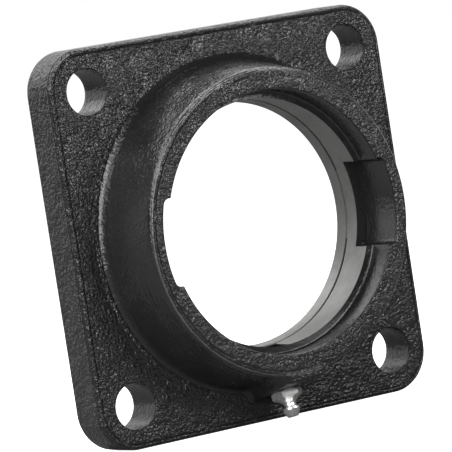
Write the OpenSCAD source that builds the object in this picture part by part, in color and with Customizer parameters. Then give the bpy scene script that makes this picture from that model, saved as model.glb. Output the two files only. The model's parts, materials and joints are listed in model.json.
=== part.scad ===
// Square four-bolt flange housing for a spherical insert bearing, with a check-valve grease fitting.
// +Z is up, the hub faces -Y, and the origin is on the bore's axis in the mounting face.
// The housing is drawn lying on its mounting face, h being the height above it, and is then stood up.

/* [Flange] */
// Width and height of the square flange
flange_w = 143; // [140:0.5:150]
// Thickness of the flange
flange_t = 15.5; // [13.5:0.5:18]
// Radius of the flange's corners
corner_r = 15.2; // [11:0.2:19]
// Rounding along the flange's front edge
flange_edge_r = 1.9; // [0.5:0.1:2.5]

/* [Bolt holes] */
// Distance from the flange's edges to the middle of a bolt hole
bolt_edge = 15.5; // [13:0.5:17]
// Diameter of a bolt hole
bolt_hole_d = 16.5; // [12:0.5:17.5]

/* [Hub] */
// Height of the hub's face above the mounting face
hub_h = 41; // [39:0.5:45]
// Diameter of the hub at its face
hub_d = 109.2; // [107:0.2:113]
// Draft of the hub's side, in degrees
hub_draft = 10.8; // [7:0.2:13]
// Rounding of the hub's outer edge
hub_edge_r = 1.8; // [0.6:0.1:2.6]
// Radius of the cove at the foot of the hub
cove_r = 5; // [3:0.5:7]
// How far the cove would dip below the flange's front face
cove_sink = 0.4; // [0.1:0.1:0.8]

/* [Seat] */
// Diameter of the spherical seat
seat_d = 90; // [87:0.5:91]
// Height of the seat's centre above the mounting face
seat_h = 22.5; // [20.5:0.5:24]
// Distance from the seat's centre forward to the shoulder in the mouth
seat_front = 8; // [6.5:0.5:10]
// Distance from the seat's centre back to the rear recess
seat_back = 11; // [9.5:0.5:13]
// Diameter of the mouth in front of the seat
mouth_d = 94; // [92.5:0.5:96]
// Rounding of the mouth's rim
mouth_edge_r = 0.8; // [0.3:0.1:1.5]
// Fillet between the mouth's wall and its shoulder
mouth_fillet_r = 0.6; // [0.2:0.1:1]

/* [Grease groove] */
// Distance of the groove behind the seat's centre
groove_back = 5.9; // [4:0.1:7.5]
// Width of the groove
groove_w = 1; // [0.6:0.1:1.6]
// Depth of the groove
groove_depth = 0.4; // [0.2:0.1:0.8]

/* [Loading slots] */
// Width of the two slots that let the insert bearing in edge first
slot_w = 31; // [27:0.5:33]
// Diameter across the floors of the slots
slot_d = 99; // [97.5:0.5:101]
// Rounding of the slots' corners
slot_corner_r = 2.5; // [1:0.25:4]

/* [Rear recess] */
// Diameter of the cast recess at the mounting face
recess_d = 107; // [105:0.5:112]
// Draft of the recess's wall, in degrees
recess_draft = 4; // [1:0.5:8]
// Fillet between the recess's wall and floor
recess_fillet_r = 2; // [1:0.25:3]

/* [Grease boss] */
// Width of the boss
boss_w = 16; // [14:0.5:20]
// How far the boss stands out of the hub's side on the fitting's axis
boss_rise = 3.4; // [2.4:0.2:4.6]
// Rounding of the boss's edges
boss_edge_r = 2; // [0.8:0.2:3]
// Radius of the blend between the boss and the hub
boss_blend_r = 3; // [1:0.5:4]
// Width of the pocket that joins the passage and the grease groove
pocket_w = 10; // [7:0.5:14]
// Depth of the pocket
pocket_depth = 1.5; // [1:0.1:2.2]
// Diameter of the passage from the fitting to the pocket
passage_d = 4.5; // [3:0.25:6]

/* [Grease fitting] */
// Tilt of the fitting towards the front, in degrees
fitting_tilt = 15; // [5:1:20]
// Width across the flats of the hexagon
hex_af = 10; // [9:0.5:11]
// Height of the hexagon
hex_h = 3.5; // [3:0.25:4.5]
// Diameter of the taper shank at the hexagon
shank_d = 9.73; // [8:0.01:9.8]
// Length of the shank
shank_l = 7.5; // [6.5:0.25:9]
// Play between the shank and its hole
shank_gap = 0.03; // [0.02:0.01:0.08]
// Diameter of the neck
neck_d = 4.45; // [4.2:0.05:4.7]
// Height of the neck's middle above the hexagon
neck_rise = 1.7; // [1.4:0.1:2]
// Diameter of the head
head_d = 6.5; // [6.2:0.1:6.7]
// Height of the head's tip above the hexagon
head_rise = 6.1; // [5.6:0.1:6.5]
// Diameter of the flat at the tip
tip_d = 4; // [3.4:0.1:4.4]

/* [Check valve] */
// Diameter of the bore that holds the ball and its spring
valve_bore_d = 2.6; // [2.5:0.05:2.9]
// Diameter of the inlet at the tip
inlet_d = 1.7; // [1.4:0.05:1.9]
// Length of the straight inlet
inlet_l = 0.35; // [0.2:0.05:0.5]
// Diameter of the check ball
ball_d = 2.4; // [2.25:0.05:2.42]
// Gap between the closed ball and its seat
ball_gap = 0.02; // [0.01:0.01:0.04]
// Wire of the check spring
spring_wire_d = 0.3; // [0.2:0.02:0.34]
// Outer diameter of the check spring
spring_d = 2.3; // [2.1:0.05:2.36]
// Number of working turns of the check spring
spring_turns = 7; // [4:1:9]
// Thickness of the lip staked over the spring
stake_t = 0.6; // [0.4:0.1:1]
// Diameter of the opening left by the staked lip
stake_hole_d = 1.5; // [1.2:0.1:1.7]

/* [Hidden] */
$fn = 96;
iron = "#2b2b2c";
zinc = "#c9cac6";
steel = "#d8d9da";
past = 1;                    // how far a cut runs past the face that it opens

// Housing, as radii about the bore's axis and heights h above the mounting face
hub_r = hub_d / 2;
seat_r = seat_d / 2;
shoulder_h = seat_h + seat_front;
recess_h = seat_h - seat_back;
hub_root_h = flange_t / 2;
bolt_pitch = flange_w - 2 * bolt_edge;
cove_h = flange_t - cove_sink + cove_r;
cove_x = hub_side_r(cove_h) + cove_r / cos(hub_draft);
groove_h = seat_h - groove_back;
groove_r = sqrt(seat_r * seat_r - groove_back * groove_back) + groove_depth;
slot_r = slot_d / 2;
recess_top_r = recess_d / 2 - recess_h * tan(recess_draft);

// The fitting's axis starts on the seat below its centre and leaves through the middle of the boss
boss_r = (hub_r + (hub_h - seat_h) * tan(hub_draft) + boss_rise
          + seat_r * tan(fitting_tilt) * tan(hub_draft))
         / (1 + tan(fitting_tilt) * tan(hub_draft));
boss_h = seat_h + (boss_r - seat_r) * tan(fitting_tilt);
seat_depth = (boss_r - seat_r) / cos(fitting_tilt);

// Fitting, as heights w above the boss on the fitting's own axis
tip_w = hex_h + head_rise;
neck_w = hex_h + neck_rise;
neck_l = 1;
head_side_l = 0.7;
head_under_slope = 0.8;      // rise of the head's underside for each millimetre outwards
hex_shoulder_r = 3.4;        // foot of the cone that runs from the hexagon up to the neck
hex_chamfer = 0.5;
hex_cone = 24;               // slope of the hexagon's outer end, in degrees
hex_turn = 19;               // where the hexagon stood when the fitting was tight, in degrees
shank_chamfer = 0.4;
taper = 1 / 32;              // pipe thread taper, as radius over length
valve_r = valve_bore_d / 2;
inlet_r = inlet_d / 2;
ball_r = ball_d / 2;
wire_r = spring_wire_d / 2;
coil_r = spring_d / 2 - wire_r;
coil_gap = 0.03;             // between a closed turn and the next
shank_end_r = shank_d / 2 - shank_l * taper;
inlet_w = tip_w - inlet_l;
ball_w = inlet_w + inlet_r - (ball_r + ball_gap) * sqrt(2);
spring_bottom_w = stake_t - shank_l + ball_gap;
spring_top_w = ball_w - sqrt(pow(ball_r + wire_r + ball_gap, 2) - coil_r * coil_r) + wire_r;

function hub_side_r(h) = hub_r + (hub_h - h) * tan(hub_draft);
function unit(v) = v / norm(v);

// Stands a piece drawn lying on its mounting face upright
module upright() {
    rotate([90, 0, 0]) children();
}

// Places on the lying housing what is drawn on the fitting's axis, w being up and 0 on the boss
module on_boss() {
    translate([0, -boss_r, boss_h]) rotate([90 - fitting_tilt, 0, 0]) children();
}

// What a round of radius r takes off an outer corner, or adds in an inner one; u and v leave the corner
module round_wedge(corner, u, v, r) {
    half = acos(unit(u) * unit(v)) / 2;
    centre = corner + unit(unit(u) + unit(v)) * r / sin(half);
    difference() {
        polygon([corner, corner + unit(u) * r / tan(half), centre, corner + unit(v) * r / tan(half)]);
        translate(centre) circle(r);
    }
}

// Cross-section of the flange from edge to edge, with its front edges rounded
module flange_section() {
    half = flange_w / 2;
    difference() {
        translate([-half, 0]) square([flange_w, flange_t]);
        for (side = [-1, 1])
            round_wedge([side * half, flange_t], [-side, 0], [0, -1], flange_edge_r);
    }
}

// Square plate with round corners and a rounded front edge, still without its holes
module flange_blank() {
    straight = flange_w - 2 * corner_r;
    post = straight / 2;
    for (turn = [0, 90])
        rotate([90, 0, turn]) translate([0, 0, -straight / 2]) linear_extrude(straight) flange_section();
    for (x = [-post, post], y = [-post, post])
        translate([x, y, 0]) rotate_extrude() difference() {
            square([corner_r, flange_t]);
            round_wedge([corner_r, flange_t], [-1, 0], [0, -1], flange_edge_r);
        }
}

// Half section of the hub: a coned side with a rounded top edge and a cove at its foot
module hub_section() {
    side_down = [sin(hub_draft), -cos(hub_draft)];
    difference() {
        polygon([[0, hub_root_h], [cove_x, hub_root_h], [cove_x, cove_h],
                 [hub_side_r(cove_h), cove_h], [hub_r, hub_h], [0, hub_h]]);
        translate([cove_x, cove_h]) circle(cove_r);
        round_wedge([hub_r, hub_h], [-1, 0], side_down, hub_edge_r);
    }
}

// Boss of the grease fitting: its outer face is square to the fitting's axis, its front is the hub's face
module boss_blank() {
    intersection() {
        on_boss() rotate([-90, 0, 0]) linear_extrude(flange_w, center = true) difference() {
            translate([-boss_w / 2, 0]) square([boss_w, seat_depth / 2]);
            for (side = [-1, 1])
                round_wedge([side * boss_w / 2, 0], [-side, 0], [0, 1], boss_edge_r);
        }
        rotate([90, 0, 90]) linear_extrude(boss_w, center = true) difference() {
            translate([-flange_w / 2, hub_root_h]) square([flange_w / 2, hub_h - hub_root_h]);
            round_wedge([(hub_h - boss_h) * tan(fitting_tilt) - boss_r, hub_h], [1, 0],
                        [-sin(fitting_tilt), -cos(fitting_tilt)], hub_edge_r);
        }
    }
}

// Fills the corner between one side of the boss and the hub, along the hub's sloping side
module boss_blend(side) {
    foot_y = sqrt(hub_r * hub_r - boss_w * boss_w / 4);
    lean = atan2(boss_w / 2, foot_y);
    top = hub_h - hub_edge_r * (1 - cos(45));    // halfway down the rounding of the hub's edge
    intersection() {
        translate([side * boss_w / 2, -foot_y, hub_h]) rotate([180 - hub_draft, 0, 0])
            linear_extrude(2 * hub_h, center = true)
                round_wedge([0, 0], [side * cos(lean), -sin(lean)], [0, 1], boss_blend_r);
        translate([-flange_w / 2, -flange_w / 2, hub_root_h])
            cube([flange_w, flange_w / 2, top - hub_root_h]);
    }
}

// Everything that is turned out of the middle, as one half section
module bore_section() {
    difference() {
        translate([0, shoulder_h]) square([mouth_d / 2, hub_h - shoulder_h + past]);
        round_wedge([mouth_d / 2, shoulder_h], [-1, 0], [0, 1], mouth_fillet_r);
    }
    round_wedge([mouth_d / 2, hub_h], [1, 0], [0, -1], mouth_edge_r);
    intersection() {
        translate([0, seat_h]) circle(seat_r);
        translate([0, recess_h]) square([seat_r, shoulder_h - recess_h]);
    }
    translate([0, groove_h - groove_w / 2]) square([groove_r, groove_w]);
    difference() {
        polygon([[0, -past], [recess_d / 2 + past * tan(recess_draft), -past],
                 [recess_top_r, recess_h], [0, recess_h]]);
        round_wedge([recess_top_r, recess_h], [-1, 0], [sin(recess_draft), -cos(recess_draft)],
                    recess_fillet_r);
    }
}

// Outline of the two loading slots: a band across the bore with floors round the bore's axis
module slot_outline() {
    corner_y = slot_w / 2 - slot_corner_r;
    corner_x = sqrt(pow(slot_r - slot_corner_r, 2) - corner_y * corner_y);
    floor_end = (slot_r + past) * [1, corner_y / corner_x];
    square([2 * corner_x, slot_w], center = true);
    for (x = [-corner_x, corner_x], y = [-corner_y, corner_y])
        translate([x, y]) circle(slot_corner_r);
    intersection() {
        circle(slot_r);
        for (turn = [0, 180])
            rotate(turn) polygon([[0, 0], [floor_end.x, -floor_end.y], floor_end]);
    }
}

// Pocket in the seat from the passage back to the groove, and the passage with the shank's hole
module grease_way() {
    pocket_back = groove_h - groove_w / 2;
    pocket_front = seat_h + passage_d / 2 + past;
    intersection() {
        translate([0, 0, pocket_back]) cylinder(h = pocket_front - pocket_back, r = seat_r + pocket_depth);
        translate([-pocket_w / 2, -seat_r - pocket_depth, pocket_back])
            cube([pocket_w, seat_r, pocket_front - pocket_back]);
    }
    on_boss() {
        translate([0, 0, -seat_depth - past]) cylinder(h = seat_depth + past, d = passage_d);
        translate([0, 0, -shank_l - past])
            cylinder(h = shank_l + 2 * past, r1 = shank_end_r - past * taper + shank_gap,
                     r2 = shank_d / 2 + past * taper + shank_gap);
    }
}

module housing() {
    color(iron) upright() difference() {
        union() {
            flange_blank();
            rotate_extrude() hub_section();
            boss_blank();
            for (side = [-1, 1])
                boss_blend(side);
        }
        rotate_extrude() bore_section();
        translate([0, 0, seat_h]) linear_extrude(hub_h - seat_h + past) slot_outline();
        for (x = [-1, 1], y = [-1, 1])
            translate([x * bolt_pitch / 2, y * bolt_pitch / 2, -past])
                cylinder(h = flange_t + 2 * past, d = bolt_hole_d);
        grease_way();
    }
}

// Hexagon, neck and head: one turned profile on which the hexagon's flats are cut
module fitting_outside() {
    hex_corner_r = hex_af / sqrt(3);
    flat_r = hex_af / 2;
    bar_r = 2 * hex_corner_r - flat_r;           // outside the corners, so that the flats meet in edges
    head_low_w = neck_w + neck_l / 2 + (head_d - neck_d) / 2 * head_under_slope;
    intersection() {
        rotate(hex_turn) linear_extrude(tip_w + past) circle(hex_corner_r, $fn = 6);
        rotate_extrude() polygon([
            [0, 0], [flat_r, 0], [bar_r, 2 * hex_chamfer],
            [bar_r, hex_h - (bar_r - hex_shoulder_r) * tan(hex_cone)], [hex_shoulder_r, hex_h],
            [neck_d / 2, neck_w - neck_l / 2], [neck_d / 2, neck_w + neck_l / 2],
            [head_d / 2, head_low_w], [head_d / 2, head_low_w + head_side_l],
            [tip_d / 2, tip_w], [0, tip_w]]);
    }
}

module grease_fitting_body() {
    color(zinc) upright() on_boss() difference() {
        union() {
            fitting_outside();
            rotate_extrude() polygon([
                [0, -shank_l], [shank_end_r - shank_chamfer, -shank_l],
                [shank_end_r, -shank_l + shank_chamfer], [shank_d / 2, 0],
                [shank_d / 2, hex_h / 2], [0, hex_h / 2]]);
        }
        rotate_extrude() polygon([
            [0, stake_t - shank_l], [valve_r, stake_t - shank_l],
            [valve_r, inlet_w - (valve_r - inlet_r)],
            [inlet_r, inlet_w], [inlet_r, tip_w + past], [0, tip_w + past]]);
        translate([0, 0, -shank_l - past]) cylinder(h = stake_t + 2 * past, d = stake_hole_d);
    }
}

module check_ball() {
    color(steel) upright() on_boss() translate([0, 0, ball_w]) sphere(ball_r);
}

// Swept round wire: closed turns at both ends and the working turns between them
module check_spring() {
    closed_pitch = spring_wire_d + coil_gap;
    low = spring_bottom_w + wire_r;
    high = spring_top_w - wire_r;
    turns = spring_turns + 2;                    // one closed turn at each end
    open_pitch = (high - low - 2 * closed_pitch) / spring_turns;
    steps = 20;
    sides = 8;
    last = turns * steps;
    function rise(t) = low + (t < 1 ? t * closed_pitch
                              : t > turns - 1 ? high - low - (turns - t) * closed_pitch
                              : closed_pitch + (t - 1) * open_pitch);
    function ring_point(i, j) =
        let (around = 360 * i / steps, across = 360 * j / sides, r = coil_r + wire_r * cos(across))
        [r * cos(around), r * sin(around), rise(i / steps) + wire_r * sin(across)];
    points = [for (i = [0:last], j = [0:sides - 1]) ring_point(i, j)];
    walls = [for (i = [0:last - 1], j = [0:sides - 1])
        let (a = i * sides + j, b = i * sides + (j + 1) % sides) [a, a + sides, b + sides, b]];
    start_cap = [for (j = [0:sides - 1]) j];
    end_cap = [for (j = [sides - 1:-1:0]) last * sides + j];
    color(steel) upright() on_boss() polyhedron(points, concat([start_cap], walls, [end_cap]));
}

housing();
grease_fitting_body();
check_ball();
check_spring();
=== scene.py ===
import json
import math

import bmesh
import bpy
import numpy as np
from bpy.props import FloatProperty, FloatVectorProperty, IntProperty, PointerProperty
from mathutils import Matrix, Vector
from mathutils.geometry import delaunay_2d_cdt


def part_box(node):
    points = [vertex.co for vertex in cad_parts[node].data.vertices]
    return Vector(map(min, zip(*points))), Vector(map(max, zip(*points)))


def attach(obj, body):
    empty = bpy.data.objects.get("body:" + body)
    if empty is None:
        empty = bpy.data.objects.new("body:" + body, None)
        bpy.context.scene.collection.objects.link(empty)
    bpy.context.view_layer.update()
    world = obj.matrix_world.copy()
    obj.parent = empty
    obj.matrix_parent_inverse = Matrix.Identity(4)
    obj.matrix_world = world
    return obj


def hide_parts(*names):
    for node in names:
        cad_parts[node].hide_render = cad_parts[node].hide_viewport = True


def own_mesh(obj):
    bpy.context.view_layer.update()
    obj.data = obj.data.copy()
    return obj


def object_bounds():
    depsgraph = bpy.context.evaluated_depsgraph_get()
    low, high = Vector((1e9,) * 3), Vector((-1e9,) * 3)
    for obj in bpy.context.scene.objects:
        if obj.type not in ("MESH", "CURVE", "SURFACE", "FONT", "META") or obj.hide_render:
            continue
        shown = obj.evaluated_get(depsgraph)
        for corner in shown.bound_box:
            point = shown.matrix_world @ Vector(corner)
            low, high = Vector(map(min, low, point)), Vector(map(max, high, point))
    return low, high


bl_info = {
    "name": "Flange Bearing Housing",
    "version": (1, 0, 0),
    "blender": (4, 5, 0),
    "location": "3D View > Sidebar > Housing",
    "description": "A cast four-bolt flange housing with a machined seat and a grease fitting",
    "category": "Object",
}

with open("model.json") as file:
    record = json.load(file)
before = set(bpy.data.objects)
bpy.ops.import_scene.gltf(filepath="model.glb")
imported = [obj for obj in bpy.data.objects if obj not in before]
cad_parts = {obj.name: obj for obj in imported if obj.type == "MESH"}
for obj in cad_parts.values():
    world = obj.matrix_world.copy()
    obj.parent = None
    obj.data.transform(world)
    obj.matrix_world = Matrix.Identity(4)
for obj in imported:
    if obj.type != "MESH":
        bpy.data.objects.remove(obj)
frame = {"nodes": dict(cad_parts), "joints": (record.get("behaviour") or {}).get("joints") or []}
CAD_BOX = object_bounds()
MM = 0.001
MERGE = 0.002 * MM                 # points nearer than this are one point
SHARP = math.radians(38)           # an edge that turns more than this stays sharp
CASTING_LOW, CASTING_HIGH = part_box("housing")


def length(name, description, default):
    """A size in metres."""
    return FloatProperty(name=name, description=description, default=default, unit="LENGTH", precision=5)


def angle(name, description, degrees):
    """An angle, given in degrees."""
    return FloatProperty(name=name, description=description, default=math.radians(degrees), unit="ROTATION")


def share(name, description, default):
    """A number between 0 and 1."""
    return FloatProperty(name=name, description=description, default=default, min=0.0, max=1.0)


def amount(name, description, default):
    """A number without a unit, not below 0."""
    return FloatProperty(name=name, description=description, default=default, min=0.0)


def colour(name, description, default):
    """A linear colour."""
    return FloatVectorProperty(name=name, description=description, default=default, size=3,
                               subtype="COLOR", min=0.0, max=1.0)


class FlangeSizes(bpy.types.PropertyGroup):
    """Square flange and its bolt holes"""
    width: length("Width", "Width and height of the square flange", CASTING_HIGH.x - CASTING_LOW.x)
    thickness: length("Thickness", "Thickness of the flange", 0.0155)
    corner: length("Corner Radius", "Radius of the flange's corners", 0.0152)
    edge: length("Edge Rounding", "Rounding along the front edge", 0.0019)
    back_edge: length("Back Edge Rounding", "Rounding along the edge of the mounting face", 0.0004)
    bolt_edge: length("Bolt Distance", "Distance from the flange's edges to the middle of a hole", 0.0155)
    bolt_hole: length("Bolt Hole", "Diameter of a bolt hole", 0.0165)
    hole_rim: length("Hole Rim", "Rounding that the paint leaves round a bolt hole", 0.0005)


class HubSizes(bpy.types.PropertyGroup):
    """Round hub with its coned side"""
    height: length("Height", "Height of the hub's face above the mounting face", -CASTING_LOW.y)
    diameter: length("Diameter", "Diameter of the hub at its face", 0.1092)
    draft: angle("Draft", "Slope of the hub's side", 10.8)
    edge: length("Edge Rounding", "Rounding of the hub's outer edge", 0.0018)
    wear: share("Wear", "How far the outer edge is worn from a rounding towards a flat", 0.5)
    cove: length("Cove", "Radius of the cove at the foot of the hub", 0.005)
    cove_sink: length("Cove Sink", "How far the cove would dip below the flange's face", 0.0004)


class SeatSizes(bpy.types.PropertyGroup):
    """Everything that is turned out of the middle, with the loading slots"""
    diameter: length("Seat Diameter", "Diameter of the spherical seat", 0.090)
    height: length("Seat Height", "Height of the seat's centre above the mounting face", 0.0225)
    front: length("Front", "Distance from the seat's centre to the shoulder in the mouth", 0.008)
    back: length("Back", "Distance from the seat's centre to the rear recess", 0.011)
    mouth: length("Mouth", "Diameter of the mouth in front of the seat", 0.094)
    mouth_edge: length("Mouth Rim", "Rounding of the mouth's rim", 0.0008)
    mouth_fillet: length("Mouth Fillet", "Fillet between the mouth's wall and its shoulder", 0.0006)
    groove_back: length("Groove Place", "Distance of the grease groove behind the seat's centre", 0.0059)
    groove_width: length("Groove Width", "Width of the grease groove", 0.001)
    groove_depth: length("Groove Depth", "Depth of the grease groove", 0.0004)
    slot_width: length("Slot Width", "Width of the two loading slots", 0.031)
    slot_span: length("Slot Span", "Diameter across the floors of the slots", 0.099)
    slot_corner: length("Slot Corner", "Rounding of the slots' corners", 0.0025)
    recess: length("Recess", "Diameter of the cast recess at the mounting face", 0.107)
    recess_draft: angle("Recess Draft", "Slope of the recess's wall", 4)
    recess_fillet: length("Recess Fillet", "Fillet between the recess's wall and floor", 0.002)


class BossSizes(bpy.types.PropertyGroup):
    """Boss that the grease fitting is screwed into, and the grease's way to the seat"""
    width: length("Width", "Width of the boss", 0.016)
    rise: length("Rise", "How far the boss stands out of the hub's side", 0.0034)
    corner: length("Corner", "Rounding of the boss's edges", 0.002)
    blend: length("Blend", "Radius of the blend between the boss and the hub", 0.003)
    foot: length("Foot", "Fillet between the boss and the flange", 0.0025)
    tilt: angle("Tilt", "Tilt of the fitting towards the front", 15)
    pocket_width: length("Pocket Width", "Width of the pocket in the seat", 0.010)
    pocket_depth: length("Pocket Depth", "Depth of the pocket in the seat", 0.0015)
    passage: length("Passage", "Diameter of the passage to the pocket", 0.0045)
    shank_gap: length("Shank Gap", "Play between the shank and its hole", 0.00003)


class FittingSizes(bpy.types.PropertyGroup):
    """Grease fitting, as heights above the boss on its own axis"""
    across_flats: length("Across Flats", "Width across the flats of the hexagon", 0.010)
    hexagon: length("Hexagon", "Height of the hexagon", 0.0035)
    hexagon_turn: angle("Hexagon Turn", "Where the hexagon stands when the fitting is tight", 19)
    chamfer: length("Chamfer", "Chamfer of the hexagon's end at the boss", 0.0005)
    cone: angle("Cone", "Slope of the hexagon's outer end", 24)
    edge: length("Edge", "Width of the worn edges round the hexagon's outer end", 0.00012)
    shoulder: length("Shoulder", "Foot radius of the cone between hexagon and neck", 0.0034)
    shank: length("Shank", "Diameter of the taper shank at the hexagon", 0.00973)
    shank_length: length("Shank Length", "Length of the shank", 0.0075)
    taper: amount("Taper", "Change of the shank's radius for each metre of length", 1 / 32)
    pitch: length("Thread Pitch", "Pitch of the thread", 0.000907)
    thread: length("Thread Depth", "Depth of the thread", 0.00055)
    neck: length("Neck", "Diameter of the neck", 0.00445)
    neck_rise: length("Neck Rise", "Height of the neck's middle above the hexagon", 0.0017)
    neck_length: length("Neck Length", "Length of the straight neck", 0.001)
    head: length("Head", "Diameter of the head", 0.0065)
    head_side: length("Head Side", "Length of the head's straight side", 0.0007)
    head_rise: length("Head Rise", "Height of the tip above the hexagon", 0.0061)
    tip: length("Tip", "Diameter of the flat at the tip", 0.004)
    bore: length("Bore", "Diameter of the bore behind the ball", 0.0026)
    inlet: length("Inlet", "Diameter of the inlet", 0.0017)
    inlet_length: length("Inlet Length", "Length of the straight inlet", 0.00035)
    stake: length("Stake", "Thickness of the lip staked over the spring", 0.0006)
    stake_hole: length("Stake Hole", "Opening left by the staked lip", 0.0015)


class SpringSizes(bpy.types.PropertyGroup):
    """Check spring behind the ball"""
    wire: length("Wire", "Diameter of the wire", 0.0003)
    diameter: length("Diameter", "Outer diameter of the coil", 0.0023)
    turns: IntProperty(name="Turns", description="Number of working turns", default=7, min=1)
    closed_gap: length("Closed Gap", "Gap between a closed end turn and the next", 0.00003)
    ball: length("Ball", "Diameter of the check ball", 0.0024)
    ball_gap: length("Ball Gap", "Gap between the closed ball and its seat", 0.00002)


class CastFinish(bpy.types.PropertyGroup):
    """Black paint on the cast skin"""
    paint: colour("Paint", "Colour of the paint", (0.0085, 0.0085, 0.0088))
    # Lighter paint along the hub's rim: a painted highlight
    highlighted: colour("Highlighted Paint", "Colour of the paint where the hub's rim is rubbed",
                   (0.055, 0.055, 0.055))
    roughness: share("Roughness", "Mean roughness of the paint", 0.23)
    swell: length("Swell", "Height of the casting's slow unevenness", 0.00016)
    swell_size: length("Swell Size", "Distance between its high places", 0.011)
    peel: length("Peel", "Height of the sand's grain left in the metal", 0.00005)
    peel_size: length("Peel Size", "Distance between its high places", 0.0021)
    sink: length("Sink", "How deep the mean skin lies, so that its high places keep to the housing's size",
                 0.000054)
    grain: length("Grain", "Height of the sand's fine grain for noise that runs from 0 to 1", 0.0012)
    flash: length("Flash", "Height of the thin ridge left along the foot of the hub", 0.00055)
    seed: IntProperty(name="Seed", description="Which casting of many this one is", default=7)


class MetalFinish(bpy.types.PropertyGroup):
    """Bare and plated metal"""
    iron: colour("Machined Iron", "Colour of the machined seat", (0.225, 0.225, 0.22))
    iron_roughness: share("Iron Roughness", "Roughness of the machined seat", 0.42)
    zinc: colour("Zinc", "Colour of the plated fitting", (0.86, 0.86, 0.85))
    zinc_roughness: share("Zinc Roughness", "Roughness of the plated fitting", 0.32)
    steel: colour("Ball Steel", "Colour of the ball", (0.66, 0.66, 0.67))
    wire: colour("Spring Wire", "Colour of the spring", (0.42, 0.42, 0.43))


class StudioSettings(bpy.types.PropertyGroup):
    """Camera and light"""
    yaw: angle("Yaw", "How far the camera stands to the left of the bore's axis", 33.19)
    pitch: angle("Pitch", "How far the camera looks down", 3.66)
    roll: angle("Roll", "How far the camera is rolled", -8.77)
    distance: length("Distance", "Distance from the camera to the housing", 1.690)
    shift_right: length("Shift Right", "Sideways move of the camera in its own view", 0.00258)
    shift_up: length("Shift Up", "Upward move of the camera in its own view", -0.00033)
    lens: amount("Lens", "Focal length in millimetres", 373.2)
    floor: colour("Floor", "Colour of the floor", (0.80, 0.80, 0.80))
    floor_in_gloss: share("Floor in Gloss", "How much of the floor's colour reflections show", 0.22)
    sky: amount("Sky", "Strength of the plain light from all round", 0.30)
    room: amount("Room", "Brightness of the room in reflections", 0.05)
    backdrop: amount("Backdrop", "Brightness of the backdrop in reflections", 1.0)


class HousingSettings(bpy.types.PropertyGroup):
    """All sizes and colours of the housing"""
    flange: PointerProperty(type=FlangeSizes)
    hub: PointerProperty(type=HubSizes)
    seat: PointerProperty(type=SeatSizes)
    boss: PointerProperty(type=BossSizes)
    fitting: PointerProperty(type=FittingSizes)
    spring: PointerProperty(type=SpringSizes)
    cast: PointerProperty(type=CastFinish)
    metal: PointerProperty(type=MetalFinish)
    studio: PointerProperty(type=StudioSettings)


# Node trees

class Term:
    """One output of a node that can be used in sums, each of which adds a Math node."""

    def __init__(self, graph, socket):
        self.graph = graph
        self.socket = socket

    def _maths(self, operation, *values):
        return self.graph.node("ShaderNodeMath", {"operation": operation}, dict(enumerate(values)))

    def __add__(self, other):
        return self._maths("ADD", self, other)

    def __radd__(self, other):
        return self._maths("ADD", other, self)

    def __sub__(self, other):
        return self._maths("SUBTRACT", self, other)

    def __rsub__(self, other):
        return self._maths("SUBTRACT", other, self)

    def __mul__(self, other):
        return self._maths("MULTIPLY", self, other)

    def __rmul__(self, other):
        return self._maths("MULTIPLY", other, self)

    def __truediv__(self, other):
        return self._maths("DIVIDE", self, other)

    def __rtruediv__(self, other):
        return self._maths("DIVIDE", other, self)

    def least(self, other):
        """The smaller of the two."""
        return self._maths("MINIMUM", self, other)

    def most(self, other):
        """The larger of the two."""
        return self._maths("MAXIMUM", self, other)

    def of(self, operation):
        """A Math node that takes this one value, such as its square root or its sign."""
        return self._maths(operation, self)


class Graph:
    """Adds nodes to a tree and joins them up."""

    def __init__(self, tree):
        self.tree = tree

    def node(self, kind, settings=None, inputs=None, output=0):
        """A node with its settings made first and its inputs given values or links; returns one output."""
        made = self.tree.nodes.new(kind)
        for name, value in (settings or {}).items():
            setattr(made, name, value)
        for name, value in (inputs or {}).items():
            if isinstance(value, Term):
                self.tree.links.new(value.socket, made.inputs[name])
            elif value is not None:
                made.inputs[name].default_value = value
        return Term(self, made.outputs[output]) if made.outputs else None

    def also(self, term, output):
        """Another output of the same node."""
        return Term(self, term.socket.node.outputs[output])

    def noise(self, where, size, detail=2.0, roughness=0.5, distortion=0.0):
        """Soft random values whose high places lie about a size apart."""
        return self.node("ShaderNodeTexNoise", None, {
            "Vector": where, "Scale": 1 / size, "Detail": detail, "Roughness": roughness,
            "Distortion": distortion})

    def ramp(self, value, low, high):
        """0 up to the low value and 1 from the high one, with a smooth rise between them."""
        return self.node("ShaderNodeMapRange", {"interpolation_type": "SMOOTHSTEP"},
                         {"Value": value, "From Min": low, "From Max": high})

    def mixed(self, factor, first, second):
        """A colour between two others."""
        return self.node("ShaderNodeMix", {"data_type": "RGBA"}, {0: factor, 6: first, 7: second}, 2)


def new_tree(name, inputs):
    """An empty Geometry Nodes tree, its graph, and its named inputs, given as names and kinds."""
    tree = bpy.data.node_groups.new(name, "GeometryNodeTree")
    for label, kind in inputs.items():
        tree.interface.new_socket(label, in_out="INPUT", socket_type="NodeSocket" + kind)
    tree.interface.new_socket("Geometry", in_out="OUTPUT", socket_type="NodeSocketGeometry")
    graph = Graph(tree)
    given = graph.node("NodeGroupInput")
    return tree, graph, {label: graph.also(given, label) for label in inputs}


def opaque(rgb, level=1.0):
    """A colour with its alpha, made darker or lighter by the level."""
    return (rgb[0] * level, rgb[1] * level, rgb[2] * level, 1)


def new_material(name):
    """An empty node material and its graph."""
    material = bpy.data.materials.new(name)
    material.use_nodes = True
    material.node_tree.nodes.clear()
    return material, Graph(material.node_tree)


def close_surface(graph, shader):
    """Ends a material's graph with its shader."""
    graph.node("ShaderNodeOutputMaterial", None, {"Surface": shader})


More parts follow.
